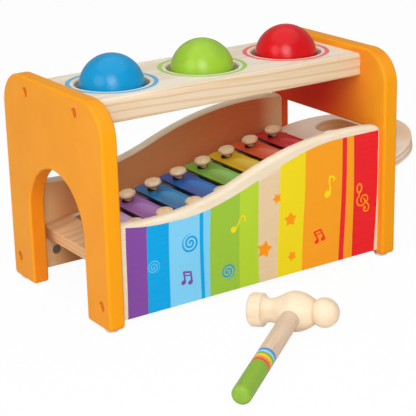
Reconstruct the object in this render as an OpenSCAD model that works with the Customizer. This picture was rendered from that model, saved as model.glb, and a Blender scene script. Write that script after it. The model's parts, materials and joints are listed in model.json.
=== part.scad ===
// Ball pounding bench with a slide-out xylophone and a mallet.
// Millimetres, +Z up. The origin lies on the floor, under the middle of the whole set.

/* [Frame] */
// Length over the two end panels
bench_len = 243; // [228:1:280]
// Depth of the end panels, front to back
panel_depth = 136; // [130:1:156]
// Height of the end panels without their feet
panel_h = 151.5; // [148:0.5:175]
// Thickness of the end panels
panel_t = 12; // [11:0.5:16]
// Radius of the upper corners of the end panels
panel_corner_r = 24; // [10:1:34]
// Radius at the toes of the end panels
toe_r = 3.5; // [1:0.5:8]
// Width of the arch in the left end panel
arch_w = 76; // [60:1:84]
// Height of the arch above the underside of the panel
arch_h = 93.6; // [75:0.2:110]
// Diameter of a foot pad
foot_d = 9.5; // [7:0.5:11]
// Height of a foot pad
foot_h = 2; // [1.5:0.25:4]
// Distance of a foot pad from the front or back edge of its panel
foot_in = 8.5; // [8.5:0.5:18]

/* [Top board] */
// Depth of the board, front to back
board_depth = 80; // [74:1:100]
// Thickness of the board
board_t = 16; // [15:0.5:20]
// Drop of the board's top below the end panels' tops
board_drop = 4.5; // [2:0.5:12]
// Radius along the upper long edges of the board
board_edge_r = 3; // [1:0.5:5]
// Radius along the lower long edges of the board
board_low_r = 1; // [0.5:0.25:2]
// Pitch of the holes along the board as a share of the bench's length
ball_pitch_share = 0.3004; // [0.28:0.0001:0.31]
// Diameter of a hole for a ball
hole_d = 51; // [50:0.5:54]
// Width of the bevel around a hole
hole_bevel = 0.8; // [0.3:0.1:1.5]

/* [Balls and rings] */
// Diameter of a ball
ball_d = 45; // [44.5:0.5:47]
// Drop of a ball's centre below the board's top
ball_sink = 2.7; // [1:0.1:4]
// Thickness of the rubber cord of a retaining ring
cord_d = 5; // [4:0.25:6]
// Depth of the groove that a ring sits in
ring_seat = 1.5; // [1:0.1:2]

/* [Side panels] */
// Thickness of the front and back panels
side_t = 8; // [7.5:0.5:10]
// Set-back of these panels from the edges of the end panels
side_inset = 6; // [3:0.5:9]
// Clearance below these panels, above the underside of the end panels
side_lift = 3.4; // [1:0.2:6]
// Height of the wave's hollow above the underside of the end panels
wave_low_h = 68.5; // [62:0.5:74]
// Height of the wave's crest above the underside of the end panels
wave_high_h = 100.3; // [92:0.1:110]
// Radius along the upper edges of these panels
rim_r = 3; // [1:0.25:3.5]
// Radius of the upper corner at the high end
side_corner_r = 5; // [2:0.5:8]

/* [Xylophone] */
// Slope of the xylophone in degrees
incline = 8.7; // [7.5:0.1:9.5]
// Height of the board's top at its low end, above the underside of the end panels
plank_low_h = 36.5; // [34:0.5:42]
// Thickness of the board
plank_t = 9.3; // [8:0.1:11]
// Distance of the low end from the left end panel
plank_end_gap = 5.5; // [4:0.5:9]
// Length of the handle past the right end panel as a share of the panels' depth
handle_out_share = 0.4007; // [0.39:0.0001:0.5]
// Clearance of the broad handle on each side in the window
handle_gap = 1.3; // [0.8:0.1:2]
// Width of the finger slot along the board
slot_w = 26; // [20:1:28]
// Length of the finger slot across the board
slot_len = 81; // [60:1:86]
// Distance of the slot's middle from the tip of the handle
slot_in = 38; // [32:0.5:44]
// Diameter of the rail under the low end
rail_d = 14; // [10:1:18]
// Distance of the rail from the low end of the board
rail_in = 24; // [14:1:28]
// Height of the free room in the window above the board
window_room = 25.2; // [20:0.2:30]
// Distance of the window from the front and back edges of its panel
window_in = 7.5; // [6:0.5:10]

/* [Keys] */
// Pitch of the keys along the board
key_pitch = 23.1; // [21.5:0.1:23.5]
// Distance of the first key from the low end of the board
key_first = 33; // [30:0.5:35]
// Width of a key
key_w = 18.6; // [16:0.2:19.6]
// Thickness of a key
key_t = 2; // [1.5:0.1:2.5]
// Radius of the corners of a key
key_r = 4; // [2:0.5:8]
// Overhang of a key past its pins as a share of the board's width
key_over_share = 0.1434; // [0.12:0.0001:0.15]
// Span of the pins of the first key as a share of the board's width
span_first_share = 0.4396; // [0.42:0.0001:0.49]
// Span of the pins of the last key as a share of the board's width
span_last_share = 0.6642; // [0.58:0.0001:0.7]
// Depth of the dish pressed into a key
dish_depth = 1.2; // [0.6:0.1:1.6]
// Width of the dish
dish_w = 14; // [10:0.5:16]
// Distance of the dish's ends from the pins
dish_in = 8; // [7:0.5:10]
// Thickness of the felt under the keys
felt_t = 4.6; // [3.5:0.1:5.5]
// Width of a felt strip
felt_w = 12; // [10:0.5:14]
// Diameter of a pin's stem
stem_d = 6.5; // [5:0.5:7]
// Diameter of a pin's head
pin_head_d = 11.5; // [10:0.5:13]
// Height of a pin's top above the board
pin_h = 14.6; // [14:0.1:18]
// Height of a pin's rounded head
pin_head_h = 4.2; // [4:0.1:5]
// Height of the dome on a pin's head
pin_dome_h = 1.8; // [0.6:0.1:2]
// Depth of a pin in the board
pin_depth = 6.5; // [4:0.25:7]
// Height of the rubber grommet around a pin
grommet_t = 1.8; // [1:0.1:2.2]
// Outer diameter of a grommet
grommet_d = 8.4; // [8.2:0.1:9]
// Distance of a grommet's middle from its pin, towards the low end
grommet_off = 0.6; // [0:0.1:0.6]

/* [Fasteners] */
// Diameter of the recess for a bolt head
recess_d = 7; // [6.5:0.25:8]
// Depth of a cap below the panel's face
cap_in = 1.4; // [0.8:0.1:2]
// Thickness of a cap
cap_t = 1.2; // [0.8:0.1:1.6]
// Height of a bolt head
bolt_head_h = 4; // [3:0.25:4.5]
// Diameter of a bolt
bolt_d = 4; // [3:0.25:4.5]
// Width over the flats' corners of the hexagon socket
socket_d = 3.4; // [2.5:0.1:4]
// Depth of the hexagon socket
socket_deep = 2.2; // [1:0.1:2.8]
// Distance of a cross nut from the end panel
nut_in = 15.5; // [12:0.5:18]
// Diameter of a cross nut
nut_d = 7; // [6.5:0.25:7.5]
// Length of a cross nut
nut_len = 6.4; // [5.6:0.1:6.8]
// Height of the lower bolts above the underside of the end panels
low_bolt_h = 15.7; // [12:0.1:22]
// Distance of the upper bolts from the long edges of the board
board_bolt_in = 6; // [5.5:0.5:8]
// Depth of the upper bolts below the board's top
board_bolt_drop = 6; // [5:0.5:7]

/* [Mallet] */
// Largest diameter of the barrel
barrel_d = 26.8; // [24:0.2:30]
// Length of the barrel between its necks
barrel_len = 28.4; // [26:0.2:34]
// Diameter of the necks at the ends of the barrel
neck_d = 15.6; // [14.6:0.2:17]
// Diameter of the flat striking face
face_d = 22.4; // [20:0.1:24]
// Thickness of the disc behind the striking face
face_t = 9.8; // [8:0.2:12]
// Length of the shoulder between the disc and the barrel
shoulder_len = 6.6; // [4:0.1:8]
// Radius around the rim of the disc
face_edge_r = 2.5; // [1:0.25:3.5]
// Diameter of the round striking end
knob_d = 19.6; // [18:0.2:22]
// Distance of the round end's centre from the barrel's middle
knob_reach = 20; // [18:0.2:24]
// Diameter of the waist before the round end
waist_d = 14.2; // [12:0.2:14.4]
// Diameter of the handle
handle_d = 12.6; // [10:0.2:14]
// Length of the handle from the head's axis to its tip
handle_len = 115; // [90:0.5:150]
// Depth of the handle past the head's axis
handle_deep = 4; // [0:0.5:6]
// Direction of the head on the floor in degrees
mallet_turn = -54; // [-75:1:-30]
// Place of the mallet along the bench, from its middle
mallet_x = -19.6; // [-40:0.2:40]
// Distance of the mallet from the front edges of the end panels
mallet_out = 63.6; // [50:0.2:90]

/* [Hidden] */
// Count of balls and keys
ball_names = ["blue", "green", "red"];
key_count = 8;
// Clearances between pieces
ball_gap = 0.3;
shoulder_gap = 0.5;
fit_gap = 0.1;
rest_gap = 0.3;
side_gap = 1;
floor_gap = 0.05;
stem_gap = 0.3;
// Depth by which a cut runs past a face
overrun = 1;
// Depth of the rail's ends in the side panels
rail_seat = 4;
// Length of a bolt past its nut
bolt_tail = 1.5;
// Length of felt past the outer keys
felt_over = 13;
// Radius along the foot pads' rims
foot_edge_r = 0.8;
// Places of the wave's hollow and crest as shares of the half length, and shares of its radii
wave_low_share = -0.749;
wave_high_share = 0.731;
wave_split_share = 0.44;
$fn = 64;

inner_x = bench_len / 2 - panel_t;
panel_top = foot_h + panel_h;
board_top = panel_top - board_drop;
board_low = board_top - board_t;

ball_pitch = ball_pitch_share * bench_len;
hole_r = hole_d / 2;
ball_r = ball_d / 2;
cord_r = cord_d / 2;
ring_r = hole_r + ring_seat - cord_r;
ball_z = board_top - ball_sink;
ring_z = ball_z - sqrt(pow(ball_r + cord_r + ball_gap, 2) - pow(ring_r, 2));

side_out = panel_depth / 2 - side_inset;
side_in = side_out - side_t;
side_mid = (side_out + side_in) / 2;
side_low = foot_h + side_lift;

// The wave is a hollow arc and a crest arc that meet in one tangent at the joint
wave_low_x = wave_low_share * inner_x;
wave_high_x = wave_high_share * inner_x;
wave_low_z = foot_h + wave_low_h;
wave_high_z = foot_h + wave_high_h;
wave_dx = wave_high_x - wave_low_x;
wave_dz = wave_high_z - wave_low_z;
wave_sum_r = (pow(wave_dx, 2) + pow(wave_dz, 2)) / (2 * wave_dz);
wave_low_r = wave_split_share * wave_sum_r;
wave_high_r = wave_sum_r - wave_low_r;
wave_tilt = atan2(wave_dx, wave_sum_r - wave_dz);
joint_x = wave_low_x + wave_low_r * sin(wave_tilt);
joint_z = wave_low_z + wave_low_r * (1 - cos(wave_tilt));
crest_z = wave_high_z - wave_high_r;
hollow_turn = wave_tilt + asin((inner_x + wave_low_x + overrun) / wave_low_r);
crest_turn = wave_tilt + atan2(inner_x - wave_high_x + overrun, side_low - overrun - crest_z);
wave_depth = wave_high_z - side_low + overrun;
corner_x = inner_x - side_corner_r;
corner_z = crest_z + sqrt(pow(wave_high_r, 2) - pow(corner_x - wave_high_x, 2)) - side_corner_r;

plank_x = -inner_x + plank_end_gap;
plank_z = foot_h + plank_low_h;
plank_w = 2 * (side_in - side_gap);
handle_out = handle_out_share * panel_depth;
plank_len = (bench_len / 2 + handle_out - plank_x) / cos(incline);
plank_right_z = plank_z + (inner_x - plank_x) * tan(incline);
window_low = plank_right_z - plank_t / cos(incline) - rest_gap;
window_high = plank_right_z + window_room;
window_w = panel_depth - 2 * window_in;
handle_w = window_w - 2 * handle_gap;
shoulder_u = (inner_x + shoulder_gap - plank_x) / cos(incline);
round_u = plank_len - handle_w / 2;
rail_r = rail_d / 2;
rail_x = plank_x + rail_in;
rail_z = plank_z + rail_in * tan(incline) - (plank_t + rest_gap + rail_r) / cos(incline);

span_first = span_first_share * plank_w;
span_last = span_last_share * plank_w;
key_step = (span_last - span_first) / (key_count - 1);
key_over = key_over_share * plank_w;
row_turn = atan2(key_step / 2, key_pitch);
row_len = (key_count - 1) * key_pitch / cos(row_turn);
key_low = felt_t;
key_top = key_low + key_t;
stem_r = stem_d / 2;

recess_deep = cap_in + cap_t + bolt_head_h;
low_bolt_z = foot_h + low_bolt_h;
board_bolt_y = board_depth / 2 - board_bolt_in;
board_bolt_z = board_top - board_bolt_drop;
nut_at = panel_t + nut_in;
board_nut_deep = board_bolt_z + nut_len / 2 + fit_gap - board_low;
side_nut_deep = (side_t + nut_len) / 2 + fit_gap;

barrel_r = barrel_d / 2;
barrel_sag = barrel_r - neck_d / 2;
barrel_arc_r = (pow(barrel_len / 2, 2) + pow(barrel_sag, 2)) / (2 * barrel_sag);
face_r = face_d / 2;
face_back = barrel_len / 2 + shoulder_len;
face_front = face_back + face_t;
handle_r = handle_d / 2;
handle_reach = handle_len - handle_r;
mallet_roll = asin((barrel_r - face_r) / (face_front - face_edge_r));
mallet_dip = asin((barrel_r - handle_r) / handle_reach);
mallet_y = -panel_depth / 2 - mallet_out;
mallet_z = barrel_r + floor_gap;

// The set's outline, which puts the origin under its middle
tip_x = bench_len / 2 + handle_out + plank_t * sin(incline);
grip_side = handle_reach * sin(mallet_dip) * sin(mallet_roll);
grip_y = mallet_y + grip_side * sin(mallet_turn) - handle_reach * cos(mallet_dip) * cos(mallet_turn);
set_shift = [(bench_len / 2 - tip_x) / 2, (handle_r - grip_y - panel_depth / 2) / 2, 0];

orange = [0.94, 0.60, 0.17];
pine = [0.92, 0.85, 0.74];
dark = [0.12, 0.12, 0.13];
steel = [0.55, 0.55, 0.57];
ball_colors = [[0.0, 0.6, 0.87], [0.6, 0.8, 0.23], [0.9, 0.11, 0.15]];
key_colors = [
    [0.72, 0.56, 0.78], [0.56, 0.32, 0.62], [0.15, 0.46, 0.68], [0.12, 0.29, 0.58],
    [0.36, 0.64, 0.29], [0.88, 0.72, 0.15], [0.88, 0.27, 0.17], [0.58, 0.08, 0.15]
];

function span(k) = span_first + k * key_step;
function key_at(k) = key_first + k * key_pitch;
function ball_x(i) = (i - (len(ball_names) - 1) / 2) * ball_pitch;

// Outline of a board standing on its low edge, with two pairs of rounded corners
module soft_outline(w, h, top_r, low_r) {
    translate([-w / 2, low_r])
        square([w, h - top_r - low_r]);
    translate([low_r - w / 2, 0])
        square([w - 2 * low_r, h - top_r]);
    translate([top_r - w / 2, low_r])
        square([w - 2 * top_r, h - low_r]);
    for (s = [-1, 1]) {
        translate([s * (w / 2 - top_r), h - top_r])
            circle(r = top_r);
        translate([s * (w / 2 - low_r), low_r])
            circle(r = low_r);
    }
}

// Rectangle about the origin with four rounded corners
module round_plate(w, d, r) {
    square([w, d - 2 * r], center = true);
    square([w - 2 * r, d], center = true);
    for (sx = [-1, 1], sy = [-1, 1])
        translate([sx * (w / 2 - r), sy * (d / 2 - r)])
            circle(r = r);
}

// Slot about the origin with half-round ends
module stadium(w, d) {
    square([w, d - w], center = true);
    for (s = [-1, 1])
        translate([0, s * (d - w) / 2])
            circle(d = w);
}

// Places things at the eight bolts, +Z running into the wood from a panel's outer face
module at_bolts() {
    for (end = [-1, 1], side = [-1, 1]) {
        translate([end * bench_len / 2, side * board_bolt_y, board_bolt_z])
            rotate([0, -90 * end, 0])
                children();
        translate([end * bench_len / 2, side * side_mid, low_bolt_z])
            rotate([0, -90 * end, 0])
                children();
    }
}

// Holes for the bolts: a recess for the head and a way through for the shank
module bolt_ways() {
    at_bolts() {
        translate([0, 0, -overrun])
            cylinder(d = recess_d, h = recess_deep + overrun);
        cylinder(d = bolt_d + 2 * fit_gap, h = nut_at + nut_d / 2 + bolt_tail + overrun);
    }
}

module end_panel(x) {
    translate([x, 0, foot_h])
        rotate([90, 0, 90])
            linear_extrude(panel_t)
                difference() {
                    soft_outline(panel_depth, panel_h, panel_corner_r, toe_r);
                    children();
                }
}

module left_end_panel() {
    color(orange)
        difference() {
            end_panel(-bench_len / 2) {
                translate([-arch_w / 2, -overrun])
                    square([arch_w, arch_h - arch_w / 2 + overrun]);
                translate([0, arch_h - arch_w / 2])
                    circle(d = arch_w, $fn = 128);
            }
            bolt_ways();
        }
}

module right_end_panel() {
    color(orange)
        difference() {
            end_panel(inner_x)
                translate([-window_w / 2, window_low - foot_h])
                    square([window_w, window_high - window_low]);
            bolt_ways();
        }
}

module top_board() {
    color(pine)
        difference() {
            translate([-inner_x, 0, board_low])
                rotate([90, 0, 90])
                    linear_extrude(2 * inner_x)
                        soft_outline(board_depth, board_t, board_edge_r, board_low_r);
            for (i = [0:len(ball_names) - 1])
                translate([ball_x(i), 0, 0]) {
                    translate([0, 0, board_low - overrun])
                        cylinder(d = hole_d, h = board_t + 2 * overrun, $fn = 128);
                    translate([0, 0, board_top - hole_bevel])
                        cylinder(r1 = hole_r, r2 = hole_r + hole_bevel + overrun, h = hole_bevel + overrun);
                    translate([0, 0, ring_z])
                        rotate_extrude()
                            translate([ring_r, 0])
                                circle(r = cord_r + fit_gap);
                }
            bolt_ways();
            for (end = [-1, 1], side = [-1, 1])
                translate([end * (inner_x - nut_in), side * board_bolt_y, board_low - overrun])
                    cylinder(d = nut_d + 2 * fit_gap, h = board_nut_deep + overrun);
        }
}

// Section through a side panel: x runs up to the rounded rim, y is the panel's thickness
module rim_section() {
    translate([-wave_depth, -side_t / 2])
        square([wave_depth - rim_r, side_t]);
    translate([-wave_depth, rim_r - side_t / 2])
        square([wave_depth, side_t - 2 * rim_r]);
    for (s = [-1, 1])
        translate([-rim_r, s * (side_t / 2 - rim_r)])
            circle(r = rim_r);
}

// Sector of a side panel about an axis along Y at height z, turned from the upright by start
module rim_sector(z, r, start, turn) {
    translate([0, 0, z])
        rotate([90, 0, 0])
            rotate([0, 0, start])
                rotate_extrude(angle = turn, $fn = 256)
                    translate([r, 0])
                        children();
}

// Outline that trims the sectors at the panel's ends and rounds the corner at the high end
module wave_ends() {
    translate([-inner_x, side_low])
        square([corner_x + inner_x, wave_high_z + overrun - side_low]);
    translate([-inner_x, side_low])
        square([2 * inner_x, corner_z - side_low]);
    translate([corner_x, corner_z])
        circle(r = side_corner_r);
}

// Front or back panel about its middle plane, its two sectors sharing the plane of the joint
module wave_panel() {
    intersection() {
        rotate([90, 0, 0])
            linear_extrude(side_t + 2 * overrun, center = true)
                wave_ends();
        translate([joint_x, 0, joint_z])
            rotate([0, -wave_tilt, 0]) {
                rim_sector(wave_low_r, wave_low_r, 270, -hollow_turn)
                    mirror([1, 0])
                        rim_section();
                rim_sector(-wave_high_r, wave_high_r, 90, -crest_turn)
                    rim_section();
            }
    }
}

// Holes of a side panel for the bolts, the cross nuts and the rail
module side_ways(side) {
    bolt_ways();
    for (end = [-1, 1])
        translate([end * (inner_x - nut_in), side * side_in, low_bolt_z])
            rotate([side * 90, 0, 0])
                translate([0, 0, -side_nut_deep])
                    cylinder(d = nut_d + 2 * fit_gap, h = side_nut_deep + overrun);
    translate([rail_x, 0, rail_z])
        rotate([90, 0, 0])
            cylinder(d = rail_d + 2 * fit_gap, h = 2 * (side_in + rail_seat + fit_gap), center = true);
}

module side_panel(side) {
    color(pine)
        difference() {
            translate([0, side * side_mid, 0])
                wave_panel();
            side_ways(side);
        }
}

module plank_rail() {
    color(pine)
        translate([rail_x, 0, rail_z])
            rotate([90, 0, 0])
                cylinder(d = rail_d, h = 2 * (side_in + rail_seat), center = true);
}

module frame_bolts() {
    color(steel)
        at_bolts()
            difference() {
                union() {
                    translate([0, 0, cap_in + cap_t])
                        cylinder(d = recess_d - 2 * fit_gap, h = bolt_head_h);
                    translate([0, 0, cap_in + cap_t])
                        cylinder(d = bolt_d, h = nut_at + nut_d / 2 + bolt_tail - cap_in - cap_t);
                }
                translate([0, 0, cap_in + cap_t - overrun])
                    cylinder(d = socket_d, h = socket_deep + overrun, $fn = 6);
            }
}

// A cross nut about its bolt: its own axis along Y, its bore along X
module cross_nut() {
    difference() {
        rotate([90, 0, 0])
            cylinder(d = nut_d, h = nut_len, center = true);
        rotate([0, 90, 0])
            cylinder(d = bolt_d + 2 * fit_gap, h = nut_d + 2 * overrun, center = true);
    }
}

module cross_nuts() {
    color(dark)
        for (end = [-1, 1], side = [-1, 1]) {
            translate([end * (inner_x - nut_in), side * board_bolt_y, board_bolt_z])
                rotate([90, 0, 0])
                    cross_nut();
            translate([end * (inner_x - nut_in), side * side_mid, low_bolt_z])
                cross_nut();
        }
}

module bolt_caps() {
    color(orange)
        at_bolts()
            translate([0, 0, cap_in])
                cylinder(d = recess_d - 2 * fit_gap, h = cap_t);
}

module foot_pads() {
    color([0.93, 0.93, 0.92])
        for (end = [-1, 1], side = [-1, 1])
            translate([end * (bench_len - panel_t) / 2, side * (panel_depth / 2 - foot_in), 0])
                rotate_extrude() {
                    square([foot_d / 2 - foot_edge_r, foot_h]);
                    translate([0, foot_edge_r])
                        square([foot_d / 2, foot_h - foot_edge_r]);
                    translate([foot_d / 2 - foot_edge_r, foot_edge_r])
                        circle(r = foot_edge_r, $fn = 32);
                }
}

module retaining_ring(i) {
    color(dark)
        translate([ball_x(i), 0, ring_z])
            rotate_extrude()
                translate([ring_r, 0])
                    circle(r = cord_r);
}

module ball(i) {
    color(ball_colors[i])
        translate([ball_x(i), 0, ball_z])
            sphere(r = ball_r);
}

// Carries a piece from the flat xylophone to its slope: X along the board, Z up from its top
module on_slope() {
    translate([plank_x, 0, plank_z])
        rotate([0, -incline, 0])
            children();
}

// Places things at both pins of key k
module at_pins(k) {
    for (side = [-1, 1])
        translate([key_at(k), side * span(k) / 2, 0])
            children();
}

// Outline of the xylophone's board: narrow between the side panels, then a broad handle with a round end
module plank_outline() {
    translate([0, -plank_w / 2])
        square([round_u, plank_w]);
    intersection() {
        translate([shoulder_u, -handle_w])
            square([plank_len, 2 * handle_w]);
        union() {
            translate([shoulder_u - overrun, -handle_w / 2])
                square([round_u - shoulder_u + overrun, handle_w]);
            translate([round_u, 0])
                circle(d = handle_w, $fn = 128);
        }
    }
}

module xylophone_board() {
    color(pine)
        on_slope()
            difference() {
                translate([0, 0, -plank_t])
                    linear_extrude(plank_t)
                        difference() {
                            plank_outline();
                            translate([plank_len - slot_in, 0])
                                stadium(slot_w, slot_len);
                        }
                for (k = [0:key_count - 1])
                    at_pins(k)
                        translate([0, 0, -pin_depth - fit_gap])
                            cylinder(r = stem_r + fit_gap, h = pin_depth + fit_gap + overrun);
            }
}

module felt_strip(side) {
    color(dark)
        on_slope()
            difference() {
                translate([key_first, side * span_first / 2, 0])
                    rotate([0, 0, side * row_turn])
                        translate([-felt_over, -felt_w / 2, 0])
                            cube([row_len + 2 * felt_over, felt_w, felt_t]);
                for (k = [0:key_count - 1])
                    at_pins(k)
                        translate([0, 0, -overrun])
                            cylinder(r = stem_r + stem_gap, h = felt_t + 2 * overrun);
            }
}

// Torus that touches the height z from above, with arcs of the given chords at the given depth
module dish_former(z, depth, long, wide, grow) {
    long_r = (pow(long / 2, 2) + pow(depth, 2)) / (2 * depth) + grow;
    wide_r = (pow(wide / 2, 2) + pow(depth, 2)) / (2 * depth) + grow;
    translate([0, 0, z - depth + long_r - grow])
        rotate([0, 90, 0])
            rotate_extrude($fn = 128)
                translate([long_r - wide_r, 0])
                    circle(r = wide_r);
}

// Metal key with a pressed dish between its pins and a hole at each pin
module key_bar(k) {
    dish_len = span(k) - 2 * dish_in;
    color(key_colors[k])
        on_slope()
            difference() {
                union() {
                    translate([key_at(k), 0, key_low])
                        linear_extrude(key_t)
                            round_plate(key_w, span(k) + 2 * key_over, key_r);
                    translate([key_at(k), 0, 0])
                        intersection() {
                            dish_former(key_top, dish_depth, dish_len, dish_w, key_t);
                            translate([0, 0, key_low - dish_depth / 2])
                                cube([key_w, dish_len, dish_depth + key_t], center = true);
                        }
                }
                translate([key_at(k), 0, 0])
                    dish_former(key_top, dish_depth, dish_len, dish_w, 0);
                at_pins(k)
                    cylinder(r = stem_r + stem_gap, h = key_top + overrun);
            }
}

// Turned pin: a stem in the board and a domed head
module pin_pair(k) {
    head_low = pin_h - pin_head_h;
    dome_r = (pow(pin_head_d / 2, 2) + pow(pin_dome_h, 2)) / (2 * pin_dome_h);
    color([0.92, 0.82, 0.68])
        on_slope()
            at_pins(k)
                rotate_extrude() {
                    translate([0, -pin_depth])
                        square([stem_r, pin_depth + head_low + pin_head_h - pin_dome_h]);
                    intersection() {
                        translate([0, head_low])
                            square([pin_head_d / 2, pin_head_h]);
                        translate([0, pin_h - dome_r])
                            circle(r = dome_r);
                    }
                }
}

module pin_grommets() {
    color(dark)
        on_slope()
            for (k = [0:key_count - 1])
                at_pins(k)
                    translate([0, 0, key_top])
                        difference() {
                            translate([-grommet_off, 0, 0])
                                cylinder(d = grommet_d, h = grommet_t);
                            translate([0, 0, -overrun])
                                cylinder(r = stem_r + fit_gap, h = grommet_t + 2 * overrun);
                        }
}

// Carries the mallet from its own axes, head along X and handle along -Y, to the floor
module on_floor() {
    translate([mallet_x, mallet_y, mallet_z])
        rotate([mallet_dip, -mallet_roll, mallet_turn])
            children();
}

// Half section of the head: x is the radius, y runs along the axis to the round end
module head_section() {
    intersection() {
        translate([0, -barrel_len / 2])
            square([barrel_r, barrel_len]);
        translate([barrel_r - barrel_arc_r, 0])
            circle(r = barrel_arc_r, $fn = 192);
    }
    intersection() {
        translate([0, knob_reach - knob_d / 2])
            square([knob_d / 2, knob_d]);
        translate([0, knob_reach])
            circle(d = knob_d);
    }
    translate([0, -face_front])
        square([face_r - face_edge_r, face_t]);
    translate([0, face_edge_r - face_front])
        square([face_r, face_t - 2 * face_edge_r]);
    for (y = [face_edge_r - face_front, -face_back - face_edge_r])
        translate([face_r - face_edge_r, y])
            circle(r = face_edge_r);
    polygon([
        [0, -face_back - face_edge_r], [face_r - face_edge_r, -face_back - face_edge_r],
        [face_r - face_edge_r, -face_back], [neck_d / 2, -barrel_len / 2 - shoulder_len / 2],
        [neck_d / 2, -barrel_len / 2], [0, 0]
    ]);
    square([waist_d / 2, knob_reach]);
}

module mallet_head() {
    color([0.97, 0.89, 0.76])
        on_floor()
            difference() {
                rotate([0, 90, 0])
                    rotate_extrude($fn = 96)
                        head_section();
                rotate([90, 0, 0])
                    translate([0, 0, -handle_deep - fit_gap])
                        cylinder(r = handle_r + fit_gap, h = handle_deep + fit_gap + barrel_r + overrun);
            }
}

module mallet_handle() {
    color([0.85, 0.74, 0.63])
        on_floor()
            rotate([90, 0, 0])
                rotate_extrude() {
                    translate([0, -handle_deep])
                        square([handle_r, handle_reach + handle_deep]);
                    intersection() {
                        translate([0, handle_reach])
                            circle(r = handle_r);
                        translate([0, handle_reach - handle_r])
                            square([handle_r, 2 * handle_r]);
                    }
                }
}

// Sets a piece in the set's own axes
module in_set() {
    translate(set_shift)
        children();
}

in_set() left_end_panel();
in_set() right_end_panel();
in_set() top_board();
in_set() side_panel(-1);  // front_panel
in_set() side_panel(1);  // back_panel
in_set() plank_rail();
in_set() frame_bolts();
in_set() cross_nuts();
in_set() bolt_caps();
in_set() foot_pads();
for (i = [0:len(ball_names) - 1]) {
    in_set() retaining_ring(i);
    in_set() ball(i);
}
in_set() xylophone_board();
in_set() felt_strip(-1);  // front_felt
in_set() felt_strip(1);  // back_felt
for (k = [0:key_count - 1]) {
    in_set() key_bar(k);
    in_set() pin_pair(k);
}
in_set() pin_grommets();
in_set() mallet_head();
in_set() mallet_handle();
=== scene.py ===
# Looks of the ball pounding bench: paint, print, bare wood, enamel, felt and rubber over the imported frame
import json
from functools import reduce
from math import atan2, cos, pi, radians, sin
from operator import or_
import bmesh
import bpy
import numpy as np
from mathutils import Euler, Matrix, Vector


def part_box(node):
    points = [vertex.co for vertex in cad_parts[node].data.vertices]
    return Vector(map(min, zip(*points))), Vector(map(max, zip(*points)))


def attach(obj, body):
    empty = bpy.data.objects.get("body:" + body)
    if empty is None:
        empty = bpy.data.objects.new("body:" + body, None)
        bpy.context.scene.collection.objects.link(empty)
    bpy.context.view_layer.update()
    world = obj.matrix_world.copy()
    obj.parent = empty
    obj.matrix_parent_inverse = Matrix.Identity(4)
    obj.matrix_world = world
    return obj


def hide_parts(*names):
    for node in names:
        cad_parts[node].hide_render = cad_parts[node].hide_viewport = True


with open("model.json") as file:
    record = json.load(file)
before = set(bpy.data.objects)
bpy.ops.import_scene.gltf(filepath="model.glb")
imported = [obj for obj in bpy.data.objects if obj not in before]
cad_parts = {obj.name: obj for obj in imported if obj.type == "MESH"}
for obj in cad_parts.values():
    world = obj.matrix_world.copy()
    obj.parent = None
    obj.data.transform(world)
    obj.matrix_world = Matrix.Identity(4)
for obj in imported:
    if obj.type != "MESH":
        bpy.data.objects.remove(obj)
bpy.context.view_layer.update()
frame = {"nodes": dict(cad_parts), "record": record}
nodes = frame["nodes"]
record = frame["record"]
bodyOf = {n: body for body, members in record["behaviour"]["bodies"].items() for n in members}
scene = bpy.context.scene
scene.view_settings.view_transform = "Standard"
print("frame loaded:", len(nodes), "nodes")

# The bench's own middle, at the height of the panels' undersides, in metres
leftBox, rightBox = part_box("left_end_panel"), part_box("right_end_panel")
benchFoot = ((leftBox[0][0] + rightBox[1][0]) / 2, (leftBox[0][1] + leftBox[1][1]) / 2, leftBox[0][2])
mm = 0.001


def tint(colour):  # a colour as a screen shows it, turned into light values by the sRGB curve
    c = np.array(colour) / 255
    return (*np.where(c <= 0.04045, c / 12.92, ((c + 0.055) / 1.055) ** 2.4).tolist(), 1.0)


# Camera, from the photo's own perspective
view = {"turn": -33.612, "rise": 19.08, "lean": -1.355, "distance": 1.0188, "aim": (0.00134, 0.0, 0.04181),
        "focalPixels": 1409.46, "framePixels": 416, "axisPixel": 207.1, "sensor": 36,
        "near": 0.01, "far": 50}


def placeCamera():
    turn, rise, lean = (radians(view[k]) for k in ("turn", "rise", "lean"))
    back = Vector((sin(turn) * cos(rise), -cos(turn) * cos(rise), sin(rise)))
    right = Vector((cos(turn), sin(turn), 0))
    up = back.cross(right)
    right, up = cos(lean) * right + sin(lean) * up, cos(lean) * up - sin(lean) * right
    eye = Vector(view["aim"]) + Vector(benchFoot) + back * view["distance"]
    data = bpy.data.cameras.new("photoCamera")
    data.sensor_width = view["sensor"]
    data.lens = view["sensor"] * view["focalPixels"] / view["framePixels"]
    data.shift_x = (view["framePixels"] / 2 - view["axisPixel"]) / view["framePixels"]
    data.clip_start, data.clip_end = view["near"], view["far"]
    camera = bpy.data.objects.new("photoCamera", data)
    camera.matrix_world = Matrix((*zip(right, up, back, eye), (0, 0, 0, 1)))
    scene.collection.objects.link(camera)
    scene.camera = camera


placeCamera()
print("camera placed")


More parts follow.
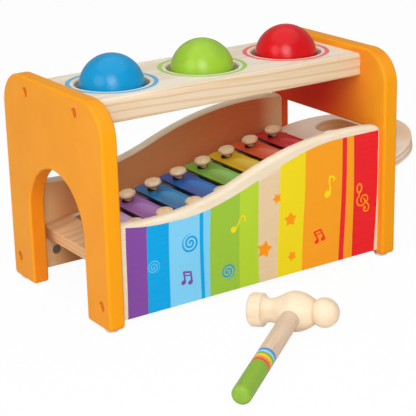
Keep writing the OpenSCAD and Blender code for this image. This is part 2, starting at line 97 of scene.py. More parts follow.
class Val:  # one shader socket; sums on it add Math nodes
    def __init__(self, tree, sock=None):
        self.tree, self.sock = tree, sock

    def node(self, kind, sets=None, ins=None, out=0):
        made = self.tree.nodes.new(kind)
        for key, value in (sets or {}).items():
            setattr(made, key, value)
        for key, value in (ins or {}).items():
            if isinstance(value, Val):
                self.tree.links.new(value.sock, made.inputs[key])
            else:
                made.inputs[key].default_value = value
        return Val(self.tree, made.outputs[out])

    def math(self, operation, *others):
        return self.node("ShaderNodeMath", {"operation": operation}, dict(enumerate((self, *others))))

    def __add__(self, other): return self.math("ADD", other)
    __radd__ = __add__
    def __mul__(self, other): return self.math("MULTIPLY", other)
    __rmul__ = __mul__
    def __sub__(self, other): return self.math("SUBTRACT", other)
    def __rsub__(self, other): return -self + other
    def __neg__(self): return self * -1.0
    def __truediv__(self, other): return self.math("DIVIDE", other)
    def __lt__(self, other): return self.math("LESS_THAN", other)
    def __gt__(self, other): return self.math("GREATER_THAN", other)
    def __or__(self, other): return self.math("MAXIMUM", other)
    def __and__(self, other): return self.math("MINIMUM", other)
    def root(self): return self.math("SQRT")
    def size(self): return self.math("ABSOLUTE")
    def wave(self): return self.math("SINE")
    def within(self, low, high): return (self > low) * (self < high)
    def line(self, gain, base): return self * gain + base

    def axes(self):  # a vector's three numbers
        split = self.node("ShaderNodeSeparateXYZ", ins={0: self}).sock.node
        return [Val(self.tree, s) for s in split.outputs]

    def moved(self, place=(0, 0, 0), turn=(0, 0, 0), scale=(1, 1, 1)):
        return self.node("ShaderNodeMapping",
                         ins={"Vector": self, "Location": place, "Rotation": turn, "Scale": scale})

    def noise(self, scale, detail=3.0, rough=0.5):
        return self.node("ShaderNodeTexNoise",
                         ins={"Vector": self, "Scale": scale, "Detail": detail, "Roughness": rough})

    def rise(self, low, high):  # soft step from 0 at low to 1 at high
        return self.node("ShaderNodeMapRange", {"interpolation_type": "SMOOTHSTEP"},
                         {"Value": self, "From Min": low, "From Max": high})

    def mix(self, under, over):  # one colour over another by this share; plain ones as a screen shows them
        under, over = (c if isinstance(c, Val) else tint(c) for c in (under, over))
        return self.node("ShaderNodeMix", {"data_type": "RGBA"}, {0: self, 6: under, 7: over}, out=2)

    def bands(self, stops):  # flat colours in turn, each from its own place on
        made = self.node("ShaderNodeValToRGB", ins={0: self})
        ramp = made.sock.node.color_ramp
        ramp.interpolation = "CONSTANT"
        while len(ramp.elements) < len(stops):
            ramp.elements.new(1.0)
        for element, (place, colour) in zip(ramp.elements, stops):
            element.position, element.color = place, tint(colour)
        return made

    def bump(self, depth, strength):  # this number times a depth in metres, as the height of a relief
        return self.node("ShaderNodeBump", ins={"Height": self, "Distance": depth, "Strength": strength})


def finish(name, make, **fixed):  # a material with some fixed sockets, and others fed by what make returns
    material = bpy.data.materials.new(name)
    material.use_nodes = True
    tree = material.node_tree
    shader = tree.nodes["Principled BSDF"]
    for socket, value in fixed.items():
        shader.inputs[socket.replace("_", " ")].default_value = value
    for socket, value in make(Val(tree)).items():
        tree.links.new(value.sock, shader.inputs[socket])
    return material


def objectPoint(start):
    return start.node("ShaderNodeTexCoord", out="Object")


def benchPoint(start):  # millimetres from the bench's middle, up from the panels' undersides
    return objectPoint(start).moved(place=tuple(-c / mm for c in benchFoot), scale=(1 / mm,) * 3)


def roundAngles(count):  # even steps round a circle
    return np.arange(count) * 2 * pi / count


def gridFaces(rows, columns, ring=False):
    # quads of a grid whose columns go round; in a ring its rows go round too
    r, c = np.meshgrid(np.arange(rows if ring else rows - 1), np.arange(columns), indexing="ij")
    here, after, beside = r * columns, (r + 1) % rows * columns, (c + 1) % columns
    return np.stack([here + c, here + beside, after + beside, after + c], -1).reshape(-1, 4)


def lathe(profile, spokes):  # radius and height pairs turned about Z: x = r cos t, y = r sin t, z = height
    t = roundAngles(spokes)
    r, h = profile[:, :1], profile[:, 1:]
    return np.stack([r * np.cos(t), r * np.sin(t), h + 0 * t], -1), gridFaces(len(profile), spokes)


def carried(points, matrix):  # a grid of points moved by a 4 by 4 matrix
    m = np.array(matrix)
    return points @ m[:3, :3].T + m[:3, 3]


def squarish(value, power):  # a sine or cosine pressed outwards: its sign times its size to a power
    return np.sign(value) * np.abs(value) ** power


def pulled(items, key, width, kind):  # one number, or a row of them, from each item of a mesh
    values = np.empty(len(items) * width, dtype=kind)
    items.foreach_get(key, values)
    return values


def sharpEdges(mesh, limit):
    # which edges have two faces that meet at more than the limit, and where the edges' middles are
    size = pulled(mesh.polygons, "loop_total", 1, np.int32)
    normal = pulled(mesh.polygons, "normal", 3, np.float32).reshape(-1, 3)
    edge = pulled(mesh.loops, "edge_index", 1, np.int32)
    ends = pulled(mesh.edges, "vertices", 2, np.int32)
    place = pulled(mesh.vertices, "co", 3, np.float32).reshape(-1, 3)
    owner = np.repeat(np.arange(len(size)), size)
    sides = normal[owner[np.argsort(edge, kind="stable")]].reshape(-1, 2, 3)
    middle = place[ends].reshape(-1, 2, 3).mean(1)
    return (sides[:, 0] * sides[:, 1]).sum(-1) < cos(radians(limit)), (middle - benchFoot) / mm


def cleaned(mesh, weld, flat=None):
    # near points made one; with a limit flat faces are joined, without one all faces are turned outwards
    work = bmesh.new()
    work.from_mesh(mesh)
    bmesh.ops.remove_doubles(work, verts=work.verts, dist=weld)
    if flat:
        bmesh.ops.dissolve_limit(work, angle_limit=radians(flat), verts=work.verts, edges=work.edges)
    else:
        bmesh.ops.recalc_face_normals(work, faces=work.faces)
    work.to_mesh(mesh)
    work.free()
    mesh.polygons.foreach_set("use_smooth", np.ones(len(mesh.polygons), dtype=bool))


def enter(node, name, mesh, material):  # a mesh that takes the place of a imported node
    mesh.materials.clear()
    mesh.materials.append(material)
    piece = bpy.data.objects.new(name, mesh)
    scene.collection.objects.link(piece)
    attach(piece, bodyOf[node])
    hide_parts(node)
    return piece


# Welds in metres, the angles in degrees under which faces are flat and over which edges are sharp
meshWork = {"ownWeld": 1e-7, "packedWeld": 2e-6, "flat": 0.3, "sharp": 38, "manySided": 5}


def put(node, name, points, faces, material):  # a surface of the script's own
    mesh = bpy.data.meshes.new(name)
    mesh.from_pydata(points.reshape(-1, 3), [], faces)
    cleaned(mesh, meshWork["ownWeld"])
    return enter(node, name, mesh, material)


def softCopy(node, name, material, width, steps=3, share=None):
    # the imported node: flat triangles joined, sharp edges rounded, by a share of the width if one is given
    mesh = nodes[node].data.copy()
    if "custom_normal" in mesh.attributes:
        mesh.attributes.remove(mesh.attributes["custom_normal"])
    cleaned(mesh, meshWork["packedWeld"], meshWork["flat"])
    sharp, middle = sharpEdges(mesh, meshWork["sharp"])
    weight = mesh.attributes.new("bevel_weight_edge", "FLOAT", "EDGE")
    weight.data.foreach_set("value", (sharp * (share(middle) if share else 1.0)).astype(np.float32))
    piece = enter(node, name, mesh, material)
    edges = piece.modifiers.new("softEdges", "BEVEL")
    edges.width, edges.segments = width, steps
    edges.limit_method = "WEIGHT"
    edges.use_clamp_overlap = share is None
    edges.harden_normals = True
    edges.loop_slide = False
    flats = piece.modifiers.new("flatFaces", "TRIANGULATE")
    flats.min_vertices = meshWork["manySided"]
    flats.ngon_method, flats.keep_custom_normals = "BEAUTY", True


def dress(node, material):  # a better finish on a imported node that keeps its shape
    nodes[node].material_slots[0].material = material


# Bare wood: slow streaks, growth lines and fine fibres, all drawn out along the grain
grainWork = {"streak": (1.0, 4.0, 0.55), "fibre": (1.0, 3.0, 0.6), "finer": 7, "ringRise": (-0.2, 1.0),
             "streakRise": (0.3, 0.72), "fibreRise": (0.4, 0.75), "shares": (0.5, 0.34, 0.26)}
woodWork = {
    "board": {"tones": ((242, 232, 216), (228, 208, 178)), "grain": (0.008, 0.13, 0.13), "lines": 24.0,
              "seed": (3.1, 7.7, 1.3)},
    "side": {"tones": ((238, 225, 203), (227, 207, 176)), "grain": (0.011, 0.1, 0.09), "lines": 18.0,
             "seed": (5.3, 2.2, 8.1)},
    "ply": {"tones": ((253, 237, 218), (246, 224, 200)), "grain": (0.012, 0.11, 0.11), "lines": 18.0,
            "seed": (1.7, 4.4, 2.9)},
    "rail": {"tones": ((232, 210, 180), (208, 176, 138)), "grain": (0.2, 0.02, 0.2), "lines": 20.0,
             "seed": (2.0, 6.0, 4.0)},
    "pins": {"tones": ((254, 228, 190), (243, 207, 163)), "grain": (0.3, 0.3, 0.05), "lines": 12.0,
             "seed": (2.0, 6.0, 4.0)},
    "head": {"tones": ((239, 218, 190), (230, 203, 167)), "grain": (0.02, 0.13, 0.13), "lines": 12.0,
             "seed": (4.0, 1.0, 7.0)},
    "handle": {"tones": ((224, 198, 172), (208, 178, 150)), "grain": (0.24, 0.02, 0.24), "lines": 12.0,
               "seed": (6.0, 2.0, 3.0)},
}


def woodColour(point, kind):  # the wood's colour, and its fibres as a number
    wood, work = woodWork[kind], grainWork
    fine = tuple(g * work["finer"] for g in wood["grain"])
    streak = point.moved(place=wood["seed"], scale=wood["grain"]).noise(*work["streak"])
    fibre = point.moved(place=wood["seed"], scale=fine).noise(*work["fibre"])
    ring = (streak * wood["lines"]).wave().rise(*work["ringRise"])
    slow, growth, thin = work["shares"]
    share = streak.rise(*work["streakRise"]) * slow + ring * growth + fibre.rise(*work["fibreRise"]) * thin
    return share.mix(*wood["tones"]), fibre


def growthLines(point, across, work):  # dark lines where a bent count across a board comes round
    bend = point.moved(scale=work["bend"]).noise(1.0, 2.0)
    return ((across + bend * work["bendReach"]) * work["pace"]).wave().rise(*work["lineRise"])


# Steel of the fasteners: fine scratches along one way
steelWork = {"bolt": ((190, 190, 194), (150, 150, 156)), "nut": ((176, 156, 142), (124, 104, 94)),
             "stretch": (60.0, 900.0, 900.0), "scratch": (1.0, 3.0, 0.6), "metal": 0.9,
             "rough": (0.25, 0.3), "relief": (0.00003, 0.4)}


def steel(kind):
    def make(start):
        scratch = objectPoint(start).moved(scale=steelWork["stretch"]).noise(*steelWork["scratch"])
        return {"Base Color": scratch.mix(*steelWork[kind]), "Roughness": scratch.line(*steelWork["rough"]),
                "Normal": scratch.bump(*steelWork["relief"])}
    return finish("fastenerSteel", make, Metallic=steelWork["metal"])


# Moulded rubber and plastic: two near tones in a fine cloud
mouldWork = {
    "blackRubber": {"tones": ((28, 18, 13), (52, 37, 28)), "cloud": (420.0, 3.0, 0.6),
                    "change": (0.35, 0.8), "rough": (0.2, 0.5), "relief": (0.00008, 0.5)},
    "capPlastic": {"tones": ((214, 112, 30), (198, 98, 24)), "cloud": (700.0, 2.0, 0.5),
                   "change": (0.3, 0.7), "rough": (0.15, 0.4), "relief": (0.00005, 0.4)},
    "footPlastic": {"tones": ((238, 238, 235), (222, 224, 224)), "cloud": (300.0, 2.0, 0.5),
                    "change": (0.3, 0.7), "rough": (0.15, 0.3), "relief": (0.00004, 0.4)},
}


def moulded(name, **fixed):
    work = mouldWork[name]

    def make(start):
        cloud = objectPoint(start).noise(*work["cloud"])
        return {"Base Color": cloud.rise(*work["change"]).mix(*work["tones"]),
                "Roughness": cloud.line(*work["rough"]), "Normal": cloud.bump(*work["relief"])}
    return finish(name, make, **fixed)


rubberFinish = moulded("blackRubber", Specular_IOR_Level=0.06)

# End panels: rolled orange paint, a painted highlight of more saturated orange on the rounded edges,
# painted red shade inside the right panel under the board, and painted shade of deeper orange in the arch
panelWork = {
    "tones": ((240, 155, 34), (236, 150, 30)), "cloud": (0.035, 3.0, 0.5), "cloudRise": (0.3, 0.7),
    # painted highlight: a more saturated orange on the rounded side and top edges
    "edge": (240, 155, 14), "rimSide": (66.0, 67.8), "rimTop": (149.6, 151.2),
    "roller": (1.1, 3.0, 0.6), "rollerShare": 0.6, "grain": (0.4, 0.25, 0.02), "grainShare": 0.8,
    "rough": (0.12, 0.32), "relief": (0.00006, 0.6),
    # painted shade: a deep red on the right panel's inner face under the board, stronger higher up, fading
    # at its borders
    "inner": {"tone": (226, 42, 42), "along": (100.0, 120.4), "side": (60.0, 66.0), "low": (30.0, 62.0),
              "top": (128.0, 141.0), "topLean": 0.41, "back": (-66.0, 10.0), "up": (62.0, 128.0),
              "upShare": (0.3, 0.7)},
    # painted shade: a deeper orange on the cut faces of the left panel's arch
    "arch": {"tone": (238, 128, 22), "along": (-120.4, -110.6), "side": 38.6, "top": 94.2, "share": 0.7},
}


def panelPaint(start):
    work, inner, arch = panelWork, panelWork["inner"], panelWork["arch"]
    point = benchPoint(start)
    x, y, z = point.axes()
    roller = point.noise(*work["roller"])
    grain = point.moved(scale=work["grain"]).noise(1.0)
    # where the painted highlight lies on the rounded edges
    rim = y.size().rise(*work["rimSide"]) | z.rise(*work["rimTop"])
    # where the painted red shade lies inside the right panel
    inside = x.within(*inner["along"]) * (1.0 - y.size().rise(*inner["side"])) * z.rise(*inner["low"])
    inside = inside * (1.0 - (z + y * inner["topLean"]).rise(*inner["top"]))
    inside = inside * y.rise(*inner["back"]) * z.rise(*inner["up"]).line(*inner["upShare"])
    # where the painted shade in the arch lies
    jamb = x.within(*arch["along"]) * (y.size() < arch["side"]) * (z < arch["top"])
    paint = point.noise(*work["cloud"]).rise(*work["cloudRise"]).mix(*work["tones"])
    paint = (jamb * arch["share"]).mix(inside.mix(paint, inner["tone"]), arch["tone"])
    return {"Base Color": rim.mix(paint, work["edge"]), "Roughness": roller.line(*work["rough"]),
            "Normal": (roller * work["rollerShare"] + grain * work["grainShare"]).bump(*work["relief"])}


# Top board: pine with growth lines along its edges and a painted ring around each hole
boardWork = {
    "rings": ((-73.0, (72, 170, 222)), (0.0, (158, 206, 84)), (73.0, (238, 92, 104))),
    "ring": (28.3, 31.5), "ringShare": (0.2, 0.82), "ringGloss": 0.14, "top": 146.4, "side": 38.6,
    "edge": (218, 184, 138), "edgeShare": 0.55, "line": (206, 166, 116), "lineShare": 0.5,
    "upCount": 0.62, "alongCount": 0.012, "bend": (0.006, 0.05, 0.05), "bendReach": 6.0, "pace": 1.9,
    "lineRise": (0.3, 1.0), "rough": (0.2, 0.42), "relief": (0.00007, 0.5),
}


def boardWood(start):
    work = boardWork
    point = benchPoint(start)
    x, y, z = point.axes()
    colour, fibre = woodColour(point, "board")
    growth = growthLines(point, z * work["upCount"] + x * work["alongCount"], work)
    edge, top = y.size() > work["side"], z > work["top"]
    colour = (edge * work["edgeShare"]).mix(colour, work["edge"])
    colour = (growth * edge * work["lineShare"]).mix(colour, work["line"])
    reaches = [((x - place) * (x - place) + y * y).root() for place, tone in work["rings"]]
    rings = [reach.within(*work["ring"]) * top for reach in reaches]
    for ring, (place, tone) in zip(rings, work["rings"]):
        colour = (ring * fibre.line(*work["ringShare"])).mix(colour, tone)
    rough = fibre.line(*work["rough"]) - reduce(or_, rings) * work["ringGloss"]
    return {"Base Color": colour, "Roughness": rough, "Normal": fibre.bump(*work["relief"])}


# Figures of the print: each takes the place on the panel in millimetres and gives 1 inside the figure
def fromPlace(x, z, at):  # the two ways from a place, and the distance
    u, v = x - at[0], z - at[1]
    return u, v, (u * u + v * v).root()


def oval(x, z, at, wide, tall, turn=0.0):
    c, s = cos(radians(turn)), sin(radians(turn))
    u, v = x - at[0], z - at[1]
    p, q = (u * c + v * s) / wide, (v * c - u * s) / tall
    return (p * p + q * q) < 1.0


def hoop(x, z, outer, inner):  # an oval with an oval hole
    return oval(x, z, *outer) * (1.0 - oval(x, z, *inner))


def bar(x, z, start, end, width):  # points nearer than half the width to a straight line between two places
    vx, vz = end[0] - start[0], end[1] - start[1]
    square = vx * vx + vz * vz
    u, v = x - start[0], z - start[1]
    along = ((u * (vx / square) + v * (vz / square)) | 0.0) & 1.0
    p, q = u - along * vx, v - along * vz
    return (p * p + q * q) < (width / 2) ** 2


def stroke(x, z, width, *places):  # a line with round ends through some places
    return reduce(or_, [bar(x, z, start, end, width) for start, end in zip(places, places[1:])])


def arc(x, z, at, radius, width, middle, half):  # part of a ring, half degrees to each side of its middle
    u, v, reach = fromPlace(x, z, at)
    ahead = u * cos(radians(middle)) + v * sin(radians(middle))
    return ((reach - radius).size() < width / 2) * (ahead > reach * cos(radians(half)))


def star(x, z, at, radius, turn):  # five straight points; the angle is folded into one half of a point
    u, v, reach = fromPlace(x, z, at)
    angle = (v.math("ARCTAN2", u) - radians(turn) + 7 * pi).math("MODULO", 2 * pi / 5)
    side = ((angle - pi / 5).size() - pi / 5).size()
    inner = figureWork["starInner"] * radius
    over, across = radius - inner * cos(pi / 5), inner * sin(pi / 5)
    return (reach * side.math("COSINE") - radius) * across + reach * side.wave() * over < 0.0


def curl(x, z, at, radius, pitch, width, turn):  # a spiral, one pitch nearer in each left turn
    u, v, reach = fromPlace(x, z, at)
    lap = (reach / pitch + v.math("ARCTAN2", u) / (2 * pi) + (figureWork["wholeLaps"] + turn)).math("FRACT")
    return ((lap - 0.5).size() < width / pitch / 2) * (reach < radius)


def beamedNotes(x, z, left, right, drop):  # two leaning stems with heads under a double beam
    def down(top, share): return top[0] + drop[0] * share, top[1] + drop[1] * share
    work = figureWork
    feet = [down(top, 1) for top in (left, right)]
    beam = [down(top, work["beamAt"]) for top in (left, right)]
    heads = [(foot[0] + work["headAside"][0], foot[1] + work["headAside"][1]) for foot in feet]
    outline = stroke(x, z, work["stem"], feet[0], left, right, feet[1])
    return reduce(or_, [outline, bar(x, z, *beam, work["beam"]),
                        *(oval(x, z, head, *work["head"]) for head in heads)])


def clef(x, z):  # a tall loop, a large and a small bow, and a tail that curls round a dot
    return reduce(or_, [draw(x, z, *how) for draw, *how in figureWork["clef"]])


figureWork = {
    "starInner": 0.57, "wholeLaps": 8.0,
    "stem": 1.45, "beam": 0.95, "beamAt": 0.36, "head": (2.05, 1.6, 25), "headAside": (-1.1, -0.5),
    "clef": ((hoop, ((91.9, 54.6), 2.8, 3.9), ((91.9, 54.7), 1.5, 2.6)),
             (bar, (92.3, 51.4), (91.4, 48.2), 1.2), (arc, (93.9, 45.2), 4.1, 1.2, 232, 112),
             (arc, (96.7, 45.5), 3.1, 1.1, 90, 128), (bar, (96.2, 46.0), (100.8, 40.0), 1.1),
             (arc, (98.4, 38.6), 2.6, 1.1, -75, 96), (oval, (97.0, 38.9), 1.2, 1.2)),
}

# Side panels: printed bands with wavy edges below a wavy border, figures in front, and amber inner faces
# that are painted shade with warm reflected light, paler at both ends
printWork = {
    # where each band begins, how far it leans, and its colour; the last row is the print's right end
    "bands": ((-102.9, -1.9, (128, 72, 157)), (-86.9, -2.3, (0, 160, 222)), (-69.8, -1.8, (124, 202, 238)),
              (-45.7, -0.6, (0, 160, 222)), (-42.8, -0.6, (124, 202, 238)), (-37.0, -2.2, (152, 192, 58)),
              (-13.2, -1.0, (178, 208, 50)), (2.3, 0.0, (230, 205, 170)), (20.2, -1.9, (235, 212, 24)),
              (42.2, -2.2, (243, 157, 30)), (75.4, -2.0, (230, 38, 46)), (79.6, -1.7, (243, 157, 30)),
              (86.4, -0.6, (230, 32, 40)), (108.6, -2.0, None)),
    "leanHeight": 65.0, "waveUp": 0.055, "waveAlong": 0.02, "waveReach": 0.5,
    "bare": (7, 8), "bareTone": (222, 184, 130), "bareShare": 0.6, "bareFade": (-3.0, 1.0),
    "low": 64.0, "climb": 31.0, "climbAlong": (-60.0, 72.0), "leftFrom": 71.0, "leftLift": 0.0032,
    # painted shade with warm reflected light on the inner faces: amber along them, paler at both ends where
    # more light reaches
    "face": 61.9, "inside": 54.1, "innerShade": ((222, 148, 86), (216, 108, 46)), "innerShadeAlong": (-70.0, 90.0),
    "innerShadeEnd": (240, 194, 140), "rightEnd": (84.0, 104.0), "leftEnd": (-106.0, -78.0),
    "innerShadeShare": (0.1, 0.86), "inkShare": (0.03, 0.98), "inkGloss": 0.05, "inkFill": 0.8,
    "rough": (0.16, 0.45), "relief": (0.00006, 0.5),
    "inks": {"blue": (0, 150, 215), "pale": (96, 190, 232), "purple": (128, 72, 157),
             "yellow": (240, 214, 20), "orange": (246, 150, 22), "red": (234, 50, 36)},
    "figures": (
        ("pale", curl, (-83.2, 35.3), 4.9, 2.0, 0.8, 0.1),
        ("blue", curl, (-53.8, 45.9), 6.7, 2.9, 1.3, -0.22),
        ("blue", curl, (-24.0, 18.0), 5.8, 2.5, 1.15, 0.35),
        ("purple", beamedNotes, (-59.8, 26.2), (-54.3, 25.2), (0.8, -6.8)),
        ("red", beamedNotes, (50.9, 29.9), (56.5, 30.9), (3.5, -6.9)),
        ("yellow", oval, (-18.7, 47.5), 2.4, 2.2, 15),
        ("yellow", stroke, 1.1, (-16.7, 47.6), (-14.4, 51.4), (-12.6, 54.6), (-10.8, 56.1),
         (-9.0, 54.5), (-9.0, 51.8)),
        ("yellow", oval, (62.8, 56.2), 2.9, 2.6, 25),
        ("yellow", stroke, 1.3, (65.2, 57.2), (65.0, 61.2), (64.3, 65.2), (64.6, 68.8),
         (67.9, 68.3), (69.0, 66.8), (68.3, 65.5)),
        ("orange", star, (18.3, 62.1), 4.1, 4),
        ("orange", star, (29.8, 44.4), 5.7, 268),
        ("orange", star, (7.1, 27.1), 6.9, 184),
        ("orange", star, (31.0, 16.7), 4.2, 6),
        ("orange", clef)),
}


def printedSide(front):
    work = printWork

    def make(start):
        point = benchPoint(start)
        x, y, z = point.axes()
        out = y * (-1.0 if front else 1.0)
        inside, face = out < work["inside"], out > work["face"]
        wood, fibre = woodColour(point, "side")
        # painted shade on the inner faces, paler towards both ends
        ends = x.rise(*work["rightEnd"]) | (1.0 - x.rise(*work["leftEnd"]))
        innerShade = ends.mix(x.rise(*work["innerShadeAlong"]).mix(*work["innerShade"]), work["innerShadeEnd"])
        wood = (inside * fibre.line(*work["innerShadeShare"])).mix(wood, innerShade)
        fall = 1.0 - z / work["leanHeight"]
        wavy = x + (z * work["waveUp"] + x * work["waveAlong"]).wave() * work["waveReach"]
        starts = [(wavy - fall * lean) > place for place, lean, tone in work["bands"]]
        ink = work["bands"][0][-1]
        for begun, (place, lean, tone) in zip(starts[1:-1], work["bands"][1:-1]):
            ink = begun.mix(ink, tone)
        bareFrom, bareTo = work["bare"]
        bare = starts[bareFrom] * (1.0 - starts[bareTo])
        left = (-x - work["leftFrom"]) | 0.0
        climb = x.rise(*work["climbAlong"]).line(work["climb"], work["low"])
        border = climb + left * left * work["leftLift"]
        stripe = face * bare * (1.0 - (z - border).rise(*work["bareFade"]))
        wood = (stripe * work["bareShare"]).mix(wood, work["bareTone"])
        inked = face * (z < border) * starts[0] * (1.0 - starts[-1]) * (1.0 - bare)
        colour = (inked * fibre.line(*work["inkShare"])).mix(wood, ink)
        for hue, draw, *how in work["figures"] if front else ():
            drawn = draw(x, z, *how) * face
            colour = drawn.mix(colour, work["inks"][hue])
            inked = inked | drawn
        return {"Base Color": colour, "Roughness": fibre.line(*work["rough"]) - inked * work["inkGloss"],
                "Normal": (fibre * (1.0 - inked * work["inkFill"])).bump(*work["relief"])}
    return finish("printedSide" if front else "bandedSide", make, Specular_IOR_Level=0.08)


# Cross rail under the low end of the xylophone: bare wood
railWork = {"rough": (0.2, 0.35), "relief": (0.00006, 0.5)}


def railWood(start):
    colour, fibre = woodColour(benchPoint(start), "rail")
    return {"Base Color": colour, "Roughness": fibre.line(*railWork["rough"]),
            "Normal": fibre.bump(*railWork["relief"])}


# Frame of the bench: how far its edges are rounded, and where the recesses for the caps are
frameWork = {"panelEdge": 2.0 * mm, "panelSteps": 4, "boardEdge": 0.7 * mm, "sideEdge": 0.9 * mm,
             "capEdge": 0.35 * mm, "footEdge": 0.3 * mm, "smallSteps": 2,
             "bolts": ((34.0, 141.0), (58.0, 15.7)), "boltReach": 4.6, "boltShare": 0.15,
             "footGlow": 0.2, "footGlowReach": 2.0 * mm}


def awayFromBolts(middle):  # full rounding, but a small share of it round the recesses
    gaps = [np.hypot(np.abs(middle[:, 1]) - y, middle[:, 2] - z) for y, z in frameWork["bolts"]]
    return np.where(np.minimum(*gaps) < frameWork["boltReach"], frameWork["boltShare"], 1.0)


panelFinish = finish("orangePaint", panelPaint, Specular_IOR_Level=0.1)
for node, name in (("left_end_panel", "leftEndPanel"), ("right_end_panel", "rightEndPanel")):
    softCopy(node, name, panelFinish, frameWork["panelEdge"], frameWork["panelSteps"], awayFromBolts)
boardFinish = finish("pineBoard", boardWood, Specular_IOR_Level=0.2)
softCopy("top_board", "topBoard", boardFinish, frameWork["boardEdge"])
softCopy("front_panel", "frontPanel", printedSide(True), frameWork["sideEdge"])
softCopy("back_panel", "backPanel", printedSide(False), frameWork["sideEdge"])
dress("plank_rail", finish("railWood", railWood, Specular_IOR_Level=0.4))
dress("frame_bolts", steel("bolt"))
dress("cross_nuts", steel("nut"))
footFinish = moulded("footPlastic", Subsurface_Weight=frameWork["footGlow"],
                     Subsurface_Radius=(frameWork["footGlowReach"],) * 3)
softCopy("bolt_caps", "boltCaps", moulded("capPlastic"), frameWork["capEdge"], frameWork["smallSteps"])
softCopy("foot_pads", "footPads", footFinish, frameWork["footEdge"], frameWork["smallSteps"])
print("bench dressed")

# Balls: a half circle turned about the upright axis; lacquer with a faint cloud and a fine orange-peel skin
ballWork = {"tones": {"ball_blue": (0, 148, 204), "ball_green": (156, 198, 52), "ball_red": (216, 8, 20)},
            "darker": 0.93, "cloud": (60.0, 3.0, 0.5), "cloudRise": (0.3, 0.75), "peel": (900.0, 2.0, 0.5),
            "rough": (0.08, 0.2), "relief": (0.00003, 0.5), "steps": 65, "spokes": 96}


def ballPaint(tone):
    def make(start):
        point = objectPoint(start)
        cloud = point.noise(*ballWork["cloud"]).rise(*ballWork["cloudRise"])
        peel = point.noise(*ballWork["peel"])
        darker = tuple(int(c * ballWork["darker"]) for c in tone)
        return {"Base Color": cloud.mix(tone, darker), "Roughness": peel.line(*ballWork["rough"]),
                "Normal": peel.bump(*ballWork["relief"])}
    return finish("ballLacquer", make, Specular_IOR_Level=0.32)


for ball, tone in ballWork["tones"].items():
    low, high = (np.array(corner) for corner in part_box(ball))
    t = np.linspace(-pi / 2, pi / 2, ballWork["steps"])
    radius = (high - low)[2] / 2
    points, faces = lathe(np.stack([radius * np.cos(t), radius * np.sin(t)], -1), ballWork["spokes"])
    put(ball, ball.replace("ball_", "turnedBall_"), points + (low + high) / 2, faces, ballPaint(tone))
    dress(ball.replace("ball_", "ring_"), rubberFinish)
print("balls turned")

# Xylophone: the slope of its board, and the rows of pins, which spread apart up the slope
slope = {"angle": radians(8.7), "foot": (-104.0, 0.0, 36.5)}
rowWork = {"first": 33.0, "pitch": 23.1, "count": 8, "spanFirst": 46.6, "spanLast": 70.4, "felt": 4.6}


def slopePoint(start):  # millimetres along, across and above the sloping board
    a, (fx, fy, fz) = slope["angle"], slope["foot"]
    place = (-fx * cos(a) - fz * sin(a), -fy, fx * sin(a) - fz * cos(a))
    return benchPoint(start).moved(place=place, turn=(0, a, 0))


def slopeMatrix():  # from the board's own metres to the frame
    foot = Vector(slope["foot"]) * mm + Vector(benchFoot)
    return Matrix.Translation(foot) @ Matrix.Rotation(-slope["angle"], 4, "Y")


def keyPlace(k):  # how far up the slope a key lies
    return rowWork["first"] + k * rowWork["pitch"]


def keySpan(k):  # from a key's front pin to its back pin
    return rowWork["spanFirst"] + k * (rowWork["spanLast"] - rowWork["spanFirst"]) / (rowWork["count"] - 1)


# Xylophone board: pale veneer, glued layers on its edges, painted shade in dark brown under the keys,
# painted warm reflected light in amber on the low end, an amber tan on the handle end, and painted shade on
# the finger slot's wall
plyWork = {
    "edge": 1.3 * mm, "thick": 9.3, "layers": 5, "layerWarp": 0.5, "skin": 0.5, "top": -0.4,
    "glue": (192, 148, 106), "glueRise": (-0.1, 0.5), "glueShare": (0.4, 0.2),
    # painted shade: a dark brown on the board's top under and between the keys
    "keyShade": {"tone": (96, 46, 28), "from": 22.0, "to": 205.5, "leanFrom": 20.0, "lean": 0.35, "side": 47.0,
              "share": (0.2, 0.75)},
    # painted warm reflected light on the board's low end, with darker growth lines on its top
    "low": {"tone": (230, 170, 104), "share": 0.72, "along": (20.0, 26.0), "line": (176, 96, 48),
            "lineShare": 0.22},
    "acrossCount": 0.5, "bend": (0.012, 0.05, 0.05), "bendReach": 14.0, "pace": 1.2,
    "lineRise": (-0.2, 1.0),
    # painted shade: a warm brown on the finger slot's wall
    "slot": {"at": 245.3, "half": 15.0, "side": 42.5, "tone": (216, 158, 98), "share": 0.7},
    "handle": {"along": (4.0, 22.0), "tone": (228, 184, 138), "share": 0.55},
    "rough": (0.2, 0.5), "layerRelief": 0.5, "relief": (0.00008, 0.5),
}


